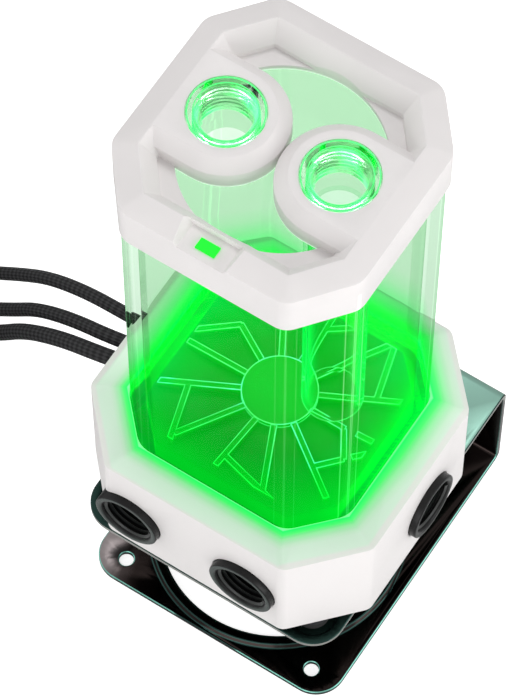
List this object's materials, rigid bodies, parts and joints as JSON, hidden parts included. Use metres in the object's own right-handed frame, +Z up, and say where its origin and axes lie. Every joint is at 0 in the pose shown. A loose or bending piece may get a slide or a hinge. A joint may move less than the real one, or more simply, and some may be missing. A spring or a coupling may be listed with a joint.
{
  "type": "coolant pump reservoir",
  "caption": "Upright clear octagonal coolant tank on a small sealed-rotor pump, with white cap and skirt, threaded ports, trailing leads and a bent sheet bracket.",
  "frame": {"origin": "centre of the four floor screw holes, on the underside of the bracket's lower plate", "axes": "+Z up along the tank and the rotor's axis, -Y to the front with two ports, +X to the side port"},
  "size_m": [0.2062, 0.1002, 0.1873],
  "materials": {
    "black_chrome_sheet": "mirror",
    "black_rubber": "matte",
    "black_screw": "satin",
    "black_plastic": "matte",
    "steel_screw": "satin",
    "green_board": "satin",
    "steel_core": "satin",
    "copper_winding": "satin",
    "steel_shaft": "polished",
    "carbon_bearing": "matte",
    "ferrite_magnet": "matte",
    "grey_plastic": "matte",
    "port_black": "satin",
    "white_plastic": "matte",
    "clear_acrylic": "clear",
    "white_board": "satin",
    "light_source": "clear",
    "frosted_acrylic": "satin",
    "green_lens": "gloss",
    "black_braid": "braided"
  },
  "bodies": {
    "reservoir": {"bracket": "black_chrome_sheet", "pump_pads": "black_rubber", "bracket_screws": "black_screw", "pump_bottom_cover": "black_plastic", "pump_housing": "black_plastic", "pump_screws": "steel_screw", "pump_board": "green_board", "stator_core": "steel_core", "stator_coils": "copper_winding", "pump_shaft": "steel_shaft", "manifold": "black_plastic", "volute_seal": "black_rubber", "front_left_port": "port_black", "front_right_port": "port_black", "side_port": "port_black", "base_cover": "white_plastic", "tank_wall": "clear_acrylic", "tank_screws": "steel_screw", "tank_seal": "black_rubber", "light_board": "white_board", "board_lights": "light_source", "floor_plate": "frosted_acrylic", "tank_lid": "clear_acrylic", "drop_tube": "clear_acrylic", "top_cover": "white_plastic", "indicator_lens": "green_lens", "lead_grommet": "black_rubber", "power_lead": "black_braid", "power_lead_coil": "black_braid", "power_plug": "black_plastic", "speed_lead": "black_braid", "speed_lead_coil": "black_braid", "speed_plug": "black_plastic", "light_lead": "black_braid", "light_lead_coil": "black_braid", "light_plug": "black_plastic"},
    "rotor": {"impeller": "grey_plastic", "rotor_magnet": "ferrite_magnet", "rotor_bearing": "carbon_bearing"}
  },
  "joints": [
    {"name": "rotor_spin", "type": "hinge", "parent": "reservoir", "child": "rotor", "pos_m": [0, 0, 0.0525], "axis": [0, 0, 1], "continuous": true}
  ]
}
